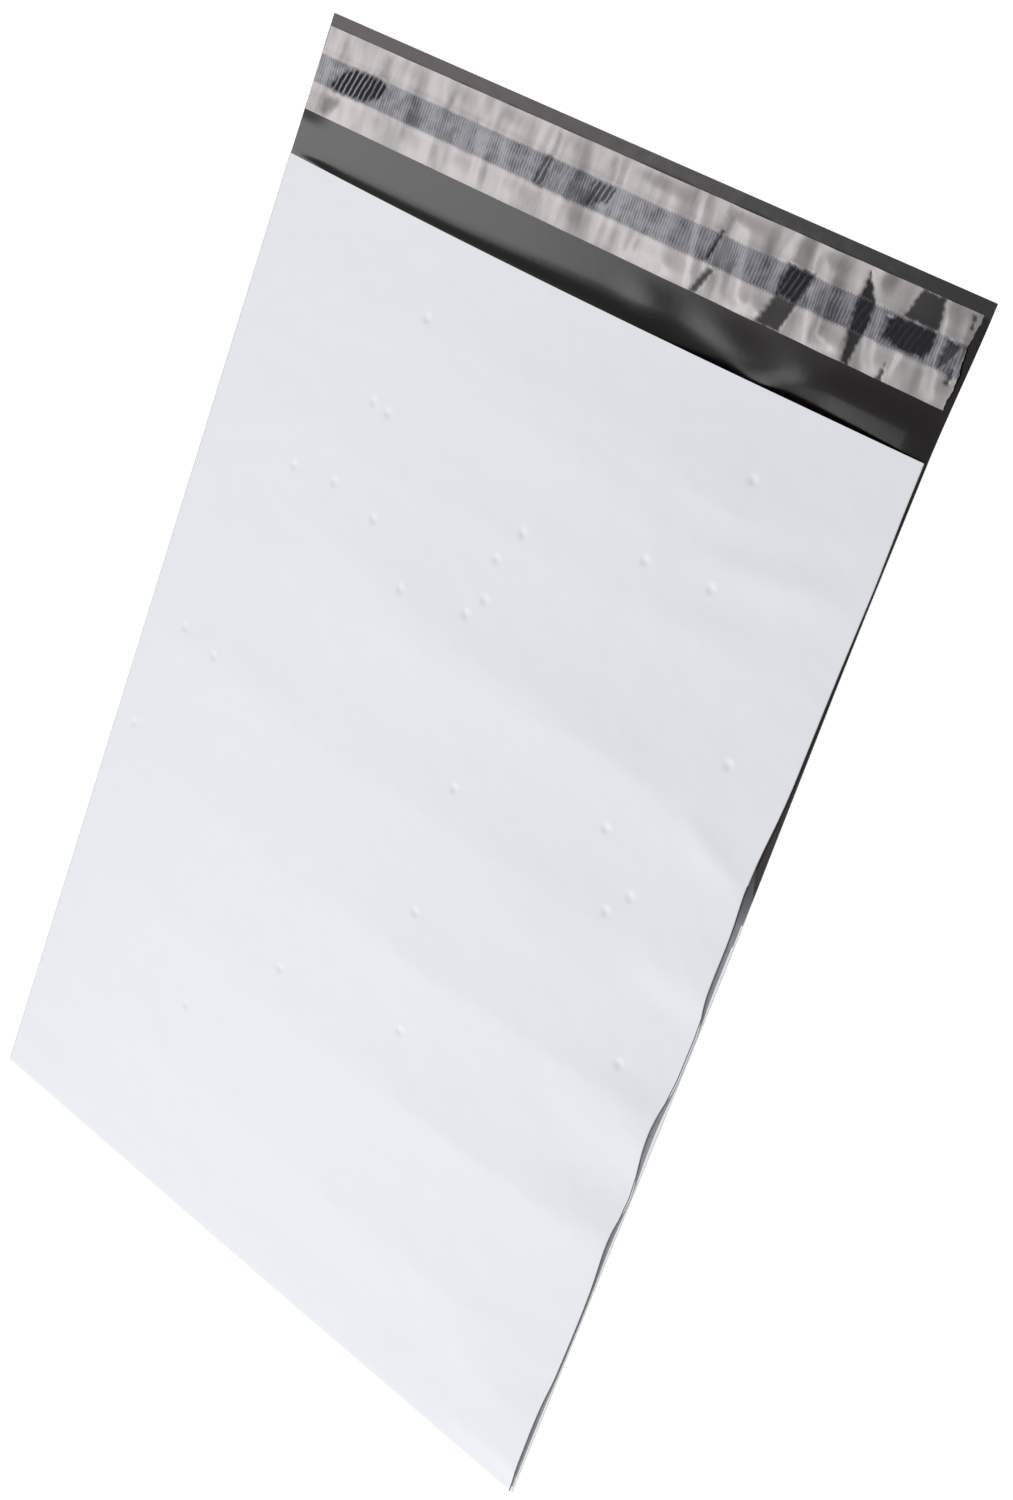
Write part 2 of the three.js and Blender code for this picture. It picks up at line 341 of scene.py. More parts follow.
def press_dents(piece):
    """Divides both faces of the front panel finely round each dent and presses the film down there."""
    shape = bmesh.new()
    shape.from_mesh(piece.data)
    seen = np.array(DENTS) + (-BAG_WIDTH / 2, BOTTOM_Y)
    eye = np.array(CAMERA_PLACE) / MM
    spots = seen
    for _ in range(SIGHT_PASSES):
        lift = front_height(spots[:, 0], spots[:, 1]) / eye[2]
        spots = seen + (eye[:2] - seen) * lift[:, None]
    spots = spots * MM

    def nearest(point):
        return np.hypot(*(spots - point[:2]).T).min() / MM

    def front_faces():
        upward = {OUTSIDE: 1, INSIDE: -1}
        return [face for face in shape.faces if face.normal.z * upward.get(face.material_index, 0) > 0.5]

    near = DENT_MARGIN * DENT_RADIUS
    close = [face for face in front_faces() if nearest(face.calc_center_median()) < near]
    edges = {edge for face in close for edge in face.edges}
    bmesh.ops.subdivide_edges(shape, edges=list(edges), cuts=DENT_CUTS, use_grid_fill=True)
    shape.normal_update()
    for vert in {vert for face in front_faces() for vert in face.verts}:
        vert.co.z -= DENT_DEPTH * hump(nearest(vert.co), DENT_RADIUS) * MM
    shape.to_mesh(piece.data)
    shape.free()


# Rows and columns of the web: closest beside the seam and round the mouth, wider on the back panel
CELL = 1.8
FOLD_STEPS = 6
FIRST_ROW = 2.0
BACK_THINNING = 3
MOUTH_ROWS = 9
SEAM_BAND = 8.0
PLAIN_COLUMNS = np.linspace(-FILM_HALF, FILM_HALF - SEAM_BAND, round(2 * FILM_HALF / CELL))
SEAM_STEPS = np.array([3.6, 2.4, 1.6, 1.1, 0.75, 0.5, 0.32, 0.18, 0.08, 0.0])
LIP_SHARES = np.array([0.8, 0.6, 0.35, 0.18, 0.0])
body_count = round(BODY_LENGTH / CELL / BACK_THINNING) * BACK_THINNING + 1
body_rows = np.linspace(BOTTOM_Y + FIRST_ROW, MOUTH_Y, body_count)
back_rows = np.concatenate([body_rows[:-MOUTH_ROWS:BACK_THINNING], body_rows[-MOUTH_ROWS:]])
flap_steps = [np.linspace(0.75, 6, 8), np.linspace(7.6, 16, 6), np.linspace(19.6, FLAP_LENGTH, 8)]
flap_rows = MOUTH_Y + np.concatenate(flap_steps)
middle, outward = web_sheet(body_rows, back_rows, flap_rows, FOLD_STEPS)
half_film = np.zeros_like(middle)
half_film[:, :, 1:] = outward[:, None, :] * FILM_THICKNESS / 2
bag = closed_film("film_web", middle + half_film, middle - half_film, OUTSIDE, INSIDE)

# Painted shade: the lip is painted grey beside the seam, and over its whole width from the foot of the
# pinch up
LIP_SHADE_STEPS = 3
PINCH_FOOT = 198.0
PINCH_RUN = 7.0
for row, y in enumerate(body_rows[:0:-1]):
    beside_seam = (row + 1) * (middle.shape[1] - 1) - len(LIP_SHARES)
    above_foot = y - BOTTOM_Y - PINCH_FOOT
    lip_shade_steps = LIP_SHADE_STEPS + (above_foot > -PINCH_RUN) + (above_foot > 0)
    for face in bag.data.polygons[beside_seam : beside_seam + lip_shade_steps]:
        face.material_index = LIP_SHADE
press_dents(bag)


def add_node(tree, kind, settings=None, sockets=None):
    """A new node of a tree, with its settings made and its sockets linked or given a value."""
    made = tree.nodes.new(kind)
    for key, setting in (settings or {}).items():
        setattr(made, key, setting)
    for key, given in (sockets or {}).items():
        given = given.socket if isinstance(given, Value) else given
        if isinstance(given, bpy.types.NodeSocket):
            tree.links.new(given, made.inputs[key])
        else:
            made.inputs[key].default_value = given
    return made


class Value:
    """A socket of a material's tree. Arithmetic on it adds Math nodes."""

    def __init__(self, tree, socket):
        self.tree = tree
        self.socket = socket

    def math(self, operation, first, second=0.0):
        made = add_node(self.tree, "ShaderNodeMath", {"operation": operation}, {0: first, 1: second})
        return Value(self.tree, made.outputs[0])

    def within(self, low, high):
        """0 below low, 1 above high, and eased between."""
        settings = {"interpolation_type": "SMOOTHSTEP"}
        sockets = {"Value": self, "From Min": low, "From Max": high}
        made = add_node(self.tree, "ShaderNodeMapRange", settings, sockets)
        return Value(self.tree, made.outputs["Result"])

    def feed(self, shader, name):
        self.tree.links.new(self.socket, shader.inputs[name])

    def __add__(self, other):
        return self.math("ADD", self, other)

    def __sub__(self, other):
        return self.math("SUBTRACT", self, other)

    def __rsub__(self, other):
        return self.math("SUBTRACT", other, self)

    def __mul__(self, other):
        return self.math("MULTIPLY", self, other)

    __radd__ = __add__
    __rmul__ = __mul__


def new_finish(name):
    """A new material: its tree, its shader and its object coordinates."""
    material = bpy.data.materials.new(name)
    material.use_nodes = True
    tree = material.node_tree
    shader = next(node for node in tree.nodes if node.type == "BSDF_PRINCIPLED")
    place = Value(tree, add_node(tree, "ShaderNodeTexCoord").outputs["Object"])
    return material, tree, shader, place


def noise(place, scale, detail=2.0):
    """Soft noise from 0 to 1, with its scale in waves a metre."""
    sockets = {"Vector": place, "Scale": scale, "Detail": detail}
    made = add_node(place.tree, "ShaderNodeTexNoise", {}, sockets)
    return Value(place.tree, made.outputs["Fac"])


def mixed(share, first, second):
    """The first colour where the share is 0, the second where it is 1."""
    sockets = {0: share, 6: first, 7: second}
    made = add_node(share.tree, "ShaderNodeMix", {"data_type": "RGBA"}, sockets)
    return Value(share.tree, made.outputs[2])


def roughen(height, shader, strength, distance):
    """Fine bumps in a finish, as deep as the distance in metres times the strength."""
    sockets = {"Strength": strength, "Distance": distance, "Height": height}
    made = add_node(height.tree, "ShaderNodeBump", {}, sockets)
    Value(height.tree, made.outputs[0]).feed(shader, "Normal")


def axis(place, name):
    """One coordinate of a place, in metres."""
    made = add_node(place.tree, "ShaderNodeSeparateXYZ", {}, {0: place})
    return Value(place.tree, made.outputs[name])


DULL_WHITE = (0.75, 0.772, 0.812, 1)
CLEAN_WHITE = (0.785, 0.803, 0.838, 1)
white, tree, shader, place = new_finish("white_film")
cloud = noise(place, 14.0, 3.0)
mixed(cloud, DULL_WHITE, CLEAN_WHITE).feed(shader, "Base Color")
(0.44 + 0.12 * cloud).feed(shader, "Roughness")
grain = noise(place, 900.0, 3.0) + 8.0 * noise(place, 85.0, 1.0)
roughen(grain, shader, strength=0.12, distance=0.0002)

# The black film's free strip beyond the liner is painted grey as a painted sheen, lightest on the left and
# black towards the right, and is rougher there, most on the left.
# It is dull under the liner's left end
DEEP_BLACK = (0.006, 0.005, 0.005, 1)
SOFT_BLACK = (0.015, 0.0105, 0.011, 1)
SHEEN_GREY_PAINT = (0.088, 0.072, 0.075, 1)
LEFT_END_SPAN = (-0.124, -0.112)
black, tree, shader, place = new_finish("black_film")
cloud = noise(place, 22.0, 3.0)
bare = mixed(cloud, DEEP_BLACK, SOFT_BLACK)
liner_top = (FLAP_EDGE_Y - LINER_INSET) * MM
on_free_strip = axis(place, "Y").within(liner_top - MM, liner_top)
# Painted sheen: grey on the free strip, lightest on the left and fading to black towards the right
rightward = (4.0 * axis(place, "X") + 0.5 + 0.7 * (noise(place, 230.0, 3.0) - 0.5)).within(0, 1)
painted_sheen = mixed(rightward, SHEEN_GREY_PAINT, DEEP_BLACK)
mixed(on_free_strip, bare, painted_sheen).feed(shader, "Base Color")
past_liner_foot = axis(place, "Y").within((LINER_LOW_Y - 5) * MM, (LINER_LOW_Y - 1) * MM)
left_end = 1 - axis(place, "X").within(*LEFT_END_SPAN)
dulled = past_liner_foot * (1 - on_free_strip) * left_end
free_strip_dull = (0.3 - 0.14 * rightward) * on_free_strip
(0.13 + 0.1 * cloud + free_strip_dull + 0.4 * dulled).feed(shader, "Roughness")
roughen(noise(place, 500.0, 3.0), shader, strength=0.05, distance=0.0002)

# Painted shade on the front panel's lip beside the right-hand seam, where it curves up: a mottled grey,
# turning darker towards the pinch and above it
LIP_SHADE_DARK = (0.15, 0.155, 0.165, 1)
LIP_SHADE_LIGHT = (0.33, 0.34, 0.36, 1)
PINCH_SHADE = (0.07, 0.075, 0.085, 1)
PINCH_SHADE_SPAN = (190, 207)
lip_shade_finish, tree, shader, place = new_finish("lip_painted_shade")
mottled_shade = mixed(noise(place, 400.0), LIP_SHADE_DARK, LIP_SHADE_LIGHT)
pinch_shade_ys = [(BOTTOM_Y + along) * MM for along in PINCH_SHADE_SPAN]
near_pinch = axis(place, "Y").within(*pinch_shade_ys)
mixed(near_pinch, mottled_shade, PINCH_SHADE).feed(shader, "Base Color")
shader.inputs["Roughness"].default_value = 0.45

for film_side in (white, black, lip_shade_finish):
    bag.data.materials.append(film_side)
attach(bag, "root")
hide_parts("bag_film")

# Side welds. Where a hot knife cut and sealed the two panels, their film melted into a thin bead.
# On the right the bead is dark, partly from the black inner layer squeezed out and partly as painted shade
# in the groove beside the front panel's rolled edge, and a little greyer towards the bottom. On the left it
# stays white.

BEAD_SIDES = 8
LOW_SEAM = (0.15, 0.4)
LOW_SEAM_TUCK = 0.45
WHITE_BEAD = (0.72, 0.74, 0.77, 1)
DARK_BEAD_AND_SHADE = (0.016, 0.015, 0.015, 1)


def node_group(name, inputs):
    """A new geometry tree with named inputs, its input node and its output node."""
    tree = bpy.data.node_groups.new(name, "GeometryNodeTree")
    for title, kind, value in inputs:
        socket = tree.interface.new_socket(title, in_out="INPUT", socket_type=kind)
        if value is not None:
            socket.default_value = value
    tree.interface.new_socket("Geometry", in_out="OUTPUT", socket_type="NodeSocketGeometry")
    return tree, tree.nodes.new("NodeGroupInput"), tree.nodes.new("NodeGroupOutput")


def grown(name, tree, values, start=None):
    """The plain mesh piece that a geometry tree makes, with the tree's inputs set by identifier."""
    source = bpy.data.objects.new(name + "_source", start or bpy.data.meshes.new(name + "_start"))
    bpy.context.scene.collection.objects.link(source)
    modifier = source.modifiers.new("grow", "NODES")
    modifier.node_group = tree
    for item in tree.interface.items_tree:
        if item.in_out == "INPUT" and item.name in values:
            modifier[item.identifier] = values[item.name]
    bpy.context.view_layer.update()
    evaluated = source.evaluated_get(bpy.context.evaluated_depsgraph_get())
    mesh = bpy.data.meshes.new_from_object(evaluated)
    mesh.name = name
    source.modifiers.remove(modifier)
    bpy.data.objects.remove(source)
    piece = bpy.data.objects.new(name, mesh)
    bpy.context.scene.collection.objects.link(piece)
    return piece


def painted_result(tree, shape, finish, result):
    """Ends a geometry tree: its shape as one real mesh in one finish."""
    real = add_node(tree, "GeometryNodeRealizeInstances", {}, {0: shape.outputs[0]})
    painted = add_node(tree, "GeometryNodeSetMaterial", {}, {0: real.outputs[0], "Material": finish})
    tree.links.new(painted.outputs[0], result.inputs[0])


weld, tree, shader, place = new_finish("weld_bead")
on_right = axis(place, "X").within(-0.01, 0.01)
upper = axis(place, "Y").within(-0.03, 0.03)
# The right-hand bead's dark colour is partly painted shade
mixed(on_right * (0.85 + 0.15 * upper), WHITE_BEAD, DARK_BEAD_AND_SHADE).feed(shader, "Base Color")
(0.42 + 0.15 * noise(place, 300.0)).feed(shader, "Roughness")

weld_paths = bpy.data.meshes.new("weld_paths")
path_rows = np.concatenate([[BOTTOM_Y], body_rows])
level = np.full_like(path_rows, WELD_RADIUS)
left_path = np.column_stack([np.full_like(path_rows, -FILM_HALF), path_rows, level])
tuck = LOW_SEAM_TUCK * (1 - ease(along_seam(path_rows, SEAM_RISES), *LOW_SEAM))
seam_x = front_place(FILM_HALF - lip_width(path_rows), path_rows) - tuck
seam_z = front_height(FILM_HALF - np.maximum(lip_width(path_rows), LEAST_LIP), path_rows)
right_path = np.column_stack([seam_x, path_rows, np.where(bared(path_rows) > 0.5, level, seam_z)])
path_points = np.concatenate([left_path, right_path]) * MM
steps = np.arange(len(path_rows) - 1)
path_edges = np.concatenate([steps, steps + len(path_rows)])
weld_paths.from_pydata(path_points.tolist(), np.column_stack([path_edges, path_edges + 1]).tolist(), [])

bead_tree, given, result = node_group(
    "bead_along_weld",
    [
        ("Geometry", "NodeSocketGeometry", None),
        ("Bead Radius", "NodeSocketFloat", WELD_RADIUS * MM),
        ("Bead Sides", "NodeSocketInt", BEAD_SIDES),
        ("Bead Finish", "NodeSocketMaterial", None),
    ],
)
line = add_node(bead_tree, "GeometryNodeMeshToCurve", {}, {0: given.outputs["Geometry"]})
ring = add_node(
    bead_tree,
    "GeometryNodeCurvePrimitiveCircle",
    {"mode": "RADIUS"},
    {"Resolution": given.outputs["Bead Sides"], "Radius": given.outputs["Bead Radius"]},
)
tube = add_node(
    bead_tree,
    "GeometryNodeCurveToMesh",
    {},
    {"Curve": line.outputs[0], "Profile Curve": ring.outputs[0], "Fill Caps": True},
)
painted_result(bead_tree, tube, given.outputs["Bead Finish"], result)
bead_values = {"Bead Radius": WELD_RADIUS * MM, "Bead Sides": BEAD_SIDES, "Bead Finish": weld}
welds = grown("side_welds", bead_tree, bead_values, weld_paths)
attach(welds, "root")

# Adhesive. A stripe of hot-melt coated on the flap's inner face in fine cross ribs, as the coating
# roller leaves it. It stays dark and tacky under the liner.

ADHESIVE_INSET = 12.6
ADHESIVE_WIDTH = 9.1
ADHESIVE_THICKNESS = 0.1
ADHESIVE_LEFT = -126.0
ADHESIVE_RIGHT = 121.6
LAYER_CLEARANCE = 0.02
ADHESIVE_BASE = FILM_THICKNESS + LAYER_CLEARANCE
RIB_PITCH = 1.04
RIB_HEIGHT = 0.03
RIB_LEAN = 0.12
RIB_SHARPNESS = 1.5
STEPS_PER_RIB = 5
POINTS_ACROSS = 6
DARK_GLUE = (0.012, 0.012, 0.014, 1)
PALE_GLUE = (0.026, 0.026, 0.03, 1)

glue, tree, shader, place = new_finish("hot_melt")
mottle = noise(place, 260.0, 3.0)
mixed(mottle, DARK_GLUE, PALE_GLUE).feed(shader, "Base Color")
(0.5 + 0.2 * mottle).feed(shader, "Roughness")
shader.inputs["Specular IOR Level"].default_value = 0.06

stripe_length = ADHESIVE_RIGHT - ADHESIVE_LEFT
stripe_values = {
    "Stripe Size": (stripe_length * MM, ADHESIVE_WIDTH * MM, ADHESIVE_THICKNESS * MM),
    "Stripe Place": (
        (ADHESIVE_LEFT + ADHESIVE_RIGHT) / 2 * MM,
        (FLAP_EDGE_Y - ADHESIVE_INSET - ADHESIVE_WIDTH / 2) * MM,
        (ADHESIVE_BASE + ADHESIVE_THICKNESS / 2) * MM,
    ),
    "Rib Pitch": RIB_PITCH * MM,
    "Rib Height": RIB_HEIGHT * MM,
    "Steps Along": round(stripe_length / RIB_PITCH * STEPS_PER_RIB),
    "Finish": glue,
}
rib_tree, given, result = node_group(
    "ribbed_stripe",
    [
        ("Geometry", "NodeSocketGeometry", None),
        ("Stripe Size", "NodeSocketVector", stripe_values["Stripe Size"]),
        ("Stripe Place", "NodeSocketVector", stripe_values["Stripe Place"]),
        ("Rib Pitch", "NodeSocketFloat", stripe_values["Rib Pitch"]),
        ("Rib Height", "NodeSocketFloat", stripe_values["Rib Height"]),
        ("Steps Along", "NodeSocketInt", stripe_values["Steps Along"]),
        ("Finish", "NodeSocketMaterial", None),
    ],
)
block_sockets = {
    "Size": given.outputs["Stripe Size"],
    "Vertices X": given.outputs["Steps Along"],
    "Vertices Y": POINTS_ACROSS,
}
block = add_node(rib_tree, "GeometryNodeMeshCube", {}, block_sockets)
spot = add_node(rib_tree, "GeometryNodeInputPosition")
spot_axes = add_node(rib_tree, "ShaderNodeSeparateXYZ", {}, {0: spot.outputs[0]})


def rule(operation, first, second=0.0):
    """One step of the sum that shapes the ribs."""
    made = add_node(rib_tree, "ShaderNodeMath", {"operation": operation}, {0: first, 1: second})
    return made.outputs[0]


lean = rule("MULTIPLY", spot_axes.outputs["Y"], RIB_LEAN)
turns = rule("DIVIDE", rule("ADD", spot_axes.outputs["X"], lean), given.outputs["Rib Pitch"])
arches = rule("ABSOLUTE", rule("SINE", rule("MULTIPLY", turns, math.pi)))
on_top = rule("GREATER_THAN", spot_axes.outputs["Z"], 0.0)
lift = rule("MULTIPLY", rule("POWER", arches, RIB_SHARPNESS), on_top)
rise = add_node(
    rib_tree, "ShaderNodeCombineXYZ", {}, {"Z": rule("MULTIPLY", lift, given.outputs["Rib Height"])}
)
ribbed = add_node(
    rib_tree, "GeometryNodeSetPosition", {}, {"Geometry": block.outputs[0], "Offset": rise.outputs[0]}
)
placed = add_node(
    rib_tree,
    "GeometryNodeTransform",
    {},
    {"Geometry": ribbed.outputs[0], "Translation": given.outputs["Stripe Place"]},
)
painted_result(rib_tree, placed, given.outputs["Finish"], result)
adhesive = grown("adhesive_ribs", rib_tree, stripe_values)
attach(adhesive, "root")
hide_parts("adhesive_strip")

# Release liner. A thin hazy film laid over the adhesive, which peels off to close the bag. It has
# puckered across its length; where it clings to what is under it, it turns clear and looks black.

LINER_THICKNESS = 0.05
LINER_LEFT = -126.5
LINER_RIGHT = 124.0
LINER_CELL = 0.55
LEAN_CENTRE = 17.0
TORN_END = 4.0
RAGGED_END = 0.3
OVER_GLUE_SPANS = ((10.6, 12.4), (21.9, 23.7))

# Patches where the liner clings: how fully, how soft their edge is in millimetres, and their outlines
# as distances from the left edge and from the flap's edge
CLINGS = [
    (1.0, 0.8, [
        (7.2, 20.8), (11, 15.5), (16, 12.8), (29, 12.6), (31.4, 14.5), (30, 18), (23, 21.4), (10, 21.9),
    ]),
    (0.5, 1.4, [(5.7, 29.5), (7, 24.5), (13, 23.2), (14, 25), (9.5, 30)]),
    (0.3, 1.2, [(26, 12.5), (27.5, 5), (30, 5), (30.5, 12.5)]),
    (0.85, 0.5, [(97.3, 12.4), (101.4, 12.4), (100.8, 21.8), (97, 21.8)]),
    (0.25, 1.2, [(99.5, 12.4), (100, 5), (102, 5), (102, 12.4)]),
    (0.4, 1.2, [(101, 12.6), (113.5, 12.6), (112, 21.6), (100.5, 21.6)]),
    (0.9, 0.5, [(117.7, 13.5), (126.8, 12.8), (125.5, 18), (121, 19.5), (118.5, 21.6), (117.5, 21.6)]),
    (0.3, 1.2, [(122, 12.4), (121.5, 6), (124, 5), (125, 12.4)]),
    (1.0, 0.4, [(166.6, 11.5), (164.8, 20.6), (162.8, 21), (165.2, 11.8)]),
    (0.4, 1.3, [(164.4, 12), (165.6, 5), (168, 5), (167.6, 12)]),
    (0.9, 0.6, [(168.2, 22.2), (166.2, 26.5), (164.2, 30.4), (162, 30.4), (163.5, 26.5), (166, 22.6)]),
    (1.0, 0.5, [(190.5, 12.2), (199.5, 12.2), (198.4, 18), (197, 21.4), (189.6, 21.4)]),
    (0.95, 0.6, [(189.8, 21), (197.4, 21), (194.5, 30.6), (186.4, 30.6)]),
    (1.0, 0.5, [
        (215.2, 5.5), (218, 9.5), (220.2, 13), (220.4, 18), (218.6, 30.6), (216.4, 30.6), (214.4, 14),
    ]),
    (1.0, 0.5, [(225.4, 14.5), (228, 13), (240.8, 12.8), (241, 18), (239, 20.6), (231, 21.2), (226, 19)]),
    (0.95, 0.5, [(229.5, 12.8), (232, 4), (239.5, 4), (241, 12.8)]),
    (0.9, 0.4, [(228.3, 30.6), (229.4, 25.2), (230.2, 30.6)]),
    (0.9, 0.6, [(245.2, 13.2), (249.5, 13.2), (247.5, 18), (244.6, 21), (244, 18.5)]),
    (0.9, 0.3, [(248.4, 5), (249.4, 5), (250, 8.6), (249.2, 8.6)]),
    (0.9, 0.3, [(248.2, 20), (249.2, 20), (249.4, 24), (248.4, 24)]),
]
CLING_WANDER = 0.15


def inside(x, y, outline):
    """Distance into an outline in millimetres, negative outside it."""
    nearest = np.full(x.shape, 1e9)
    crossings = np.zeros(x.shape, int)
    for (ax, ay), (bx, by) in zip(outline, outline[1:] + outline[:1]):
        dx, dy = bx - ax, by - ay
        share = np.clip(((x - ax) * dx + (y - ay) * dy) / (dx * dx + dy * dy), 0, 1)
        nearest = np.minimum(nearest, np.hypot(x - ax - share * dx, y - ay - share * dy))
        if dy:
            crossings += ((ay > y) != (by > y)) & (x < ax + dx * (y - ay) / dy)
    return np.where(crossings % 2, nearest, -nearest)


across = np.linspace(LINER_LEFT, LINER_RIGHT, round((LINER_RIGHT - LINER_LEFT) / LINER_CELL) + 1)
down = np.linspace(LINER_INSET, LINER_INSET + LINER_WIDTH, round(LINER_WIDTH / LINER_CELL) + 1)
x, from_edge = np.meshgrid(across, down)
from_left = x + BAG_WIDTH / 2

# The edges of the patches wander a little, in three waves that cross
wander = np.sin(1.9 * x + 0.7 * from_edge) + np.sin(2.7 * from_edge - 1.1 * x + 1)
wander = wander + 0.8 * np.sin(3.7 * x + 2.3 * from_edge + 2)
cling = np.zeros_like(x)
for full, soft, outline in CLINGS:
    into_patch = inside(from_left, from_edge, outline) + CLING_WANDER * wander
    cling = np.maximum(cling, full * ease(into_patch, -soft, soft))

# Broad folds between the patches, as distance from the left edge, reach and height, and finer puckers at
# uneven steps, higher towards the right, each leaning a little. All are lower at the liner's two edges
FOLDS = [
    (41, 11, 0.5), (64, 9, 0.5), (85, 11, 0.6), (109, 8, 0.55), (146, 17, 1.4), (177.5, 11, 1.8),
    (206.5, 8, 1.4), (224, 5.5, 0.8), (245, 4.5, 0.5),
]
FOLD_LEAN = 0.25
PUCKER_LEANS = (-0.3, 0.3)
PUCKER_HEIGHTS = (0.1, 0.3)
PUCKER_HALVES = (2.5, 6.0)
PUCKER_STEPS = (3.5, 11.0)
PUCKER_START = 2.0
PUCKER_LEFT_SHARE = 0.8
PUCKER_GROWTH = 1.2
PUCKER_GROWTH_SPAN = (-60, 60)
EDGE_SHARE = 0.35
FULL_PUCKER_SPANS = ((LINER_INSET, 9), (26, 30.5))
chance = np.random.default_rng(11)
fold_lean = FOLD_LEAN * (from_edge - LEAN_CENTRE)
pucker = sum(height * hump(from_left - fold_lean - at, reach) for at, reach, height in FOLDS)
crest_x = LINER_LEFT + PUCKER_START
while crest_x < LINER_RIGHT:
    growth = PUCKER_LEFT_SHARE + PUCKER_GROWTH * ease(crest_x, *PUCKER_GROWTH_SPAN)
    lean = chance.uniform(*PUCKER_LEANS)
    height = chance.uniform(*PUCKER_HEIGHTS) * growth
    half = chance.uniform(*PUCKER_HALVES)
    pucker += height * hump(x - crest_x - lean * (from_edge - LEAN_CENTRE), half)
    crest_x += chance.uniform(*PUCKER_STEPS)
pucker *= (1 - cling) * (EDGE_SHARE + (1 - EDGE_SHARE) * between(from_edge, *FULL_PUCKER_SPANS))
over_glue = ADHESIVE_THICKNESS + RIB_HEIGHT + LAYER_CLEARANCE
height = ADHESIVE_BASE + over_glue * between(from_edge, *OVER_GLUE_SPANS) + pucker

# The right-hand end is torn unevenly
tears = 0.4 * np.sin(from_edge * 1.3) + 0.3 * np.sin(from_edge * 3.1 + 1) + 1.4 * np.sin(from_edge * 0.35)
ragged = x + RAGGED_END * tears * ease(x, LINER_RIGHT - TORN_END, LINER_RIGHT)
low_face = np.stack([ragged, FLAP_EDGE_Y - from_edge, height], -1)
high_face = low_face + np.array([0, 0, LINER_THICKNESS])
liner = closed_film("liner_film", high_face, low_face, 0, 0)
attribute = liner.data.attributes.new("cling", "FLOAT", "POINT")
attribute.data.foreach_set("value", np.tile(cling.reshape(-1), 2))

LINER_COVER = 0.93
CLING_RIB_PITCH = 2.1
CLING_RIB_SLANT = 0.3
GLUE_EDGE = 0.3
SILVER_LEFT = (0.54, 0.49, 0.485, 1)
SILVER_RIGHT = (0.52, 0.485, 0.485, 1)
SILVER_END = (0.37, 0.35, 0.352, 1)
FOLD_SHADE_GREY = (0.17, 0.155, 0.155, 1)
MILKY_LEFT = (0.32, 0.315, 0.352, 1)
MILKY_RIGHT = (0.24, 0.235, 0.265, 1)
WET_GREY = (0.06, 0.06, 0.072, 1)
PRESSED_BLACK = (0.012, 0.011, 0.012, 1)
haze, tree, shader, place = new_finish("liner_haze")


def waves(turns):
    """A wave from -1 to 1 that repeats at every whole turn."""
    return turns.math("SINE", turns * (2 * math.pi))


# The band over the glue, with a comb of ribs along its two edges
clinging = Value(tree, add_node(tree, "ShaderNodeAttribute", {"attribute_name": "cling"}).outputs["Fac"])
mottle = noise(place, 330.0, 3.0)
hatch = waves(axis(place, "X") * (1 / (RIB_PITCH * MM)) + noise(place, 160.0))
below_edge = FLAP_EDGE_Y - axis(place, "Y") * (1 / MM)
comb = 0.3 * hatch + 0.8 * (mottle - 0.5)
glue_end = ADHESIVE_INSET + ADHESIVE_WIDTH
past_top = (below_edge + comb).within(ADHESIVE_INSET - GLUE_EDGE, ADHESIVE_INSET + GLUE_EDGE)
past_end = (below_edge - comb).within(glue_end - GLUE_EDGE, glue_end + GLUE_EDGE)
on_glue = past_top * (1 - past_end)

# Clear patches, which the ribs of the glue break up on the left
slant = axis(place, "X") - CLING_RIB_SLANT * axis(place, "Y")
cling_ribs = waves(slant * (1 / (CLING_RIB_PITCH * MM)) + 0.6 * noise(place, 200.0)).within(0.1, 0.9)
ribbed_end = 1 - axis(place, "X").within(-0.02, 0.1)
gaps = on_glue * cling_ribs * (0.03 + 0.55 * ribbed_end)
clear = clinging * (1 - gaps)
pressed = clear * (1 - on_glue)
(LINER_COVER - LINER_COVER * clear * (0.2 + 0.8 * on_glue)).feed(shader, "Alpha")

# Silvery where it lies loose, with streaks that are partly painted shade and painted highlight of its
# folds; grey and mottled where the glue wets it
stretched = add_node(tree, "ShaderNodeMapping", {}, {"Vector": place, "Scale": (1, 0.25, 1)})
streak = noise(Value(tree, stretched.outputs[0]), 110.0, 4.0).within(0.28, 0.62)
rightward = axis(place, "X").within(-0.02, 0.12)
far_right = axis(place, "X").within(0.085, 0.12)
pale = mixed(far_right, mixed(rightward, SILVER_LEFT, SILVER_RIGHT), SILVER_END)
# Painted shade and painted highlight: the streaks darken and lighten the loose liner as the light on its
# folds would
silver = mixed(1 - (1 - streak) * (0.75 + 0.25 * rightward), FOLD_SHADE_GREY, pale)
drift = noise(place, 90.0, 1.0) - 0.5
wetted = (0.42 + 0.25 * hatch + 1.3 * (mottle - 0.5) + 0.7 * (streak - 0.5) + 0.9 * drift).within(0, 1)
grey = mixed(wetted, WET_GREY, mixed(rightward, MILKY_LEFT, MILKY_RIGHT))
mixed(pressed, mixed(on_glue, silver, grey), PRESSED_BLACK).feed(shader, "Base Color")
(0.24 + 0.2 * mottle + 0.4 * pressed).feed(shader, "Roughness")
(1 - 0.8 * on_glue - pressed).feed(shader, "Coat Weight")
shader.inputs["Coat Roughness"].default_value = 0.3
liner.data.materials.append(haze)
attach(liner, "root")
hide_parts("release_liner")

# Table, light and camera. The bag lies on a plain white table between two soft lamps, a wide one to its
# left and a square one at its foot, and the camera looks down from its flap's right-hand side.

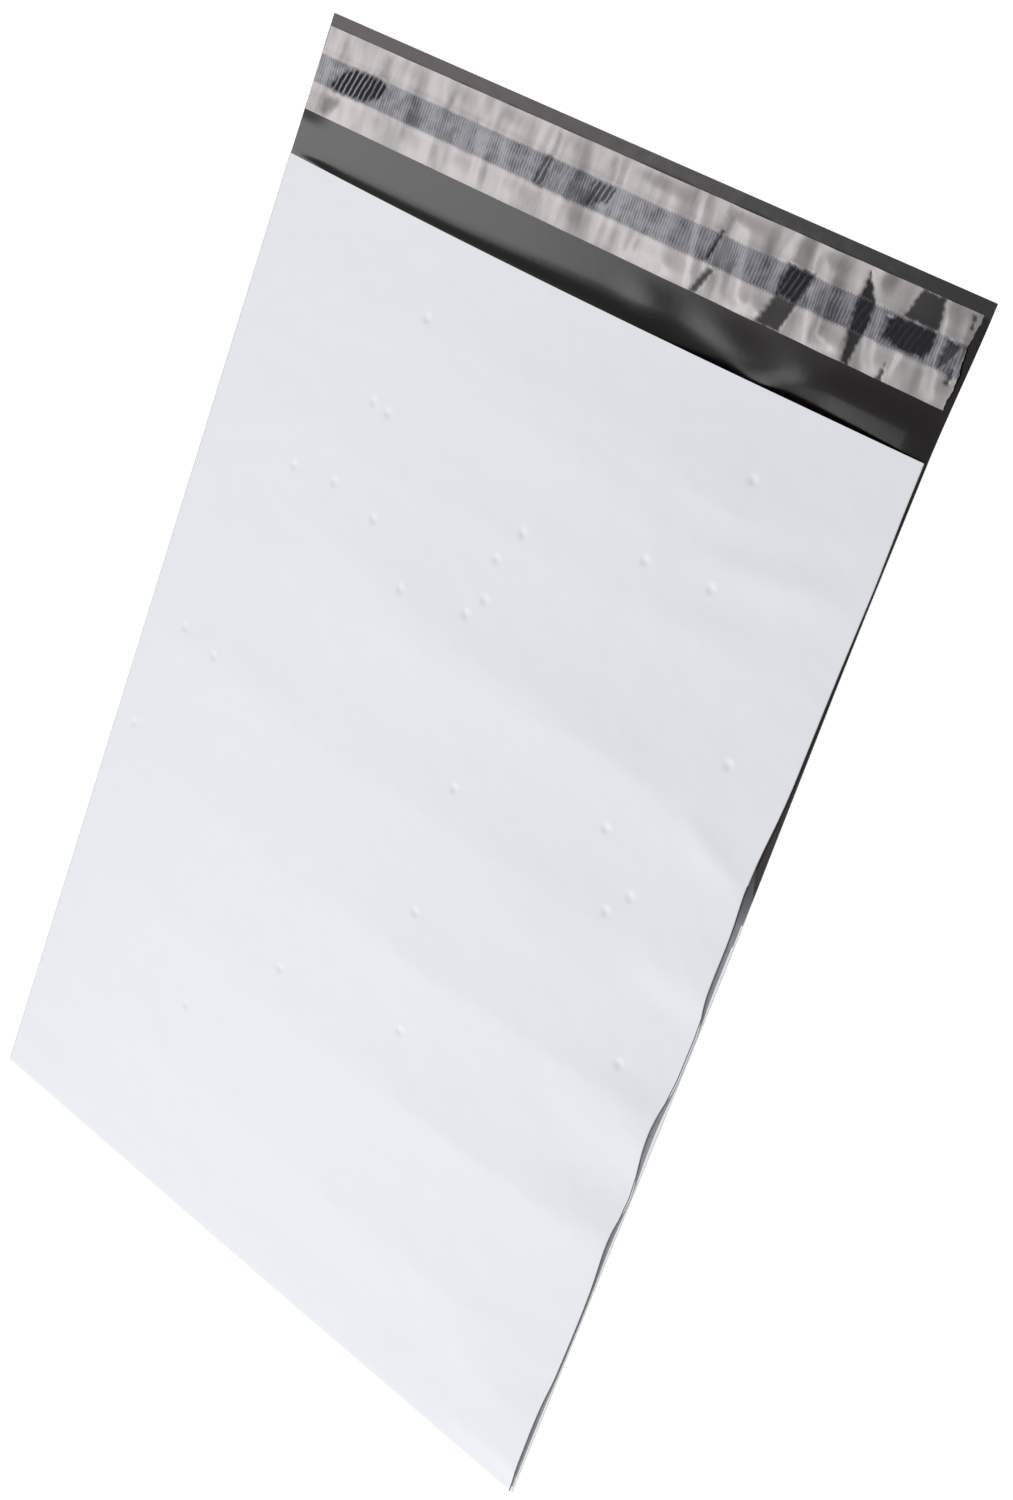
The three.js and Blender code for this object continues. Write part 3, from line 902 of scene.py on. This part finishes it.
TABLE_HALF = 20.0
TABLE_GLOW = 0.26
TABLE_WHITE = (0.92, 0.92, 0.92, 1)
WORLD_LIGHT = 0.3
LAMP_DISTANCE = 4.0
NO_GLOW = (0, 0, 0, 1)
FULL_GLOW = (1, 1, 1, 1)

floor_mesh = bpy.data.meshes.new("table")
corners = [(x * TABLE_HALF, y * TABLE_HALF, 0) for x, y in ((-1, -1), (1, -1), (1, 1), (-1, 1))]
floor_mesh.from_pydata(corners, [], [(0, 1, 2, 3)])
floor = bpy.data.objects.new("table", floor_mesh)
bpy.context.scene.collection.objects.link(floor)

# The table glows only as it is seen, mirrored or looked at through film, so its glow lights nothing
table_white, tree, shader, place = new_finish("table_white")
shader.inputs["Base Color"].default_value = TABLE_WHITE
shader.inputs["Roughness"].default_value = 0.9
shader.inputs["Specular IOR Level"].default_value = 0.0
shader.inputs["Emission Strength"].default_value = TABLE_GLOW
ways = add_node(tree, "ShaderNodeLightPath").outputs
seen, mirrored, through = [
    Value(tree, ways[f"Is {way} Ray"]) for way in ("Camera", "Glossy", "Transmission")
]
mixed(seen + mirrored + through, NO_GLOW, FULL_GLOW).feed(shader, "Emission Color")
floor_mesh.materials.append(table_white)

world = bpy.data.worlds.new("studio")
world.use_nodes = True
world.node_tree.nodes["Background"].inputs["Color"].default_value = (1, 1, 1, 1)
world.node_tree.nodes["Background"].inputs["Strength"].default_value = WORLD_LIGHT
bpy.context.scene.world = world


def soft_lamp(name, azimuth, elevation, width, height, power):
    """A rectangular lamp turned to the bag, with its width level."""
    turn, rise = math.radians(azimuth), math.radians(elevation)
    towards = Vector((math.cos(rise) * math.cos(turn), math.cos(rise) * math.sin(turn), math.sin(rise)))
    data = bpy.data.lights.new(name, "AREA")
    data.shape = "RECTANGLE"
    data.size = width
    data.size_y = height
    data.energy = power
    lamp = bpy.data.objects.new(name, data)
    lamp.location = towards * LAMP_DISTANCE
    lamp.rotation_euler = towards.to_track_quat("Z", "Y").to_euler()
    bpy.context.scene.collection.objects.link(lamp)


soft_lamp("side_lamp", azimuth=203, elevation=44, width=4.2, height=1.6, power=64.0)
soft_lamp("foot_lamp", azimuth=274, elevation=38, width=2.8, height=2.8, power=128.0)

CAMERA_RIGHT = Vector((0.70659, 0.32592, -0.62809))
CAMERA_UP = Vector((-0.45190, 0.89088, -0.04609))
CAMERA_LENS = 61.0
camera_data = bpy.data.cameras.new("camera")
camera_data.lens = CAMERA_LENS
camera = bpy.data.objects.new("camera", camera_data)
turn = Matrix((CAMERA_RIGHT, CAMERA_UP, CAMERA_RIGHT.cross(CAMERA_UP))).transposed().to_4x4()
camera.matrix_world = Matrix.Translation(CAMERA_PLACE) @ turn
bpy.context.scene.collection.objects.link(camera)
bpy.context.scene.camera = camera
bpy.context.scene.view_settings.view_transform = "Standard"
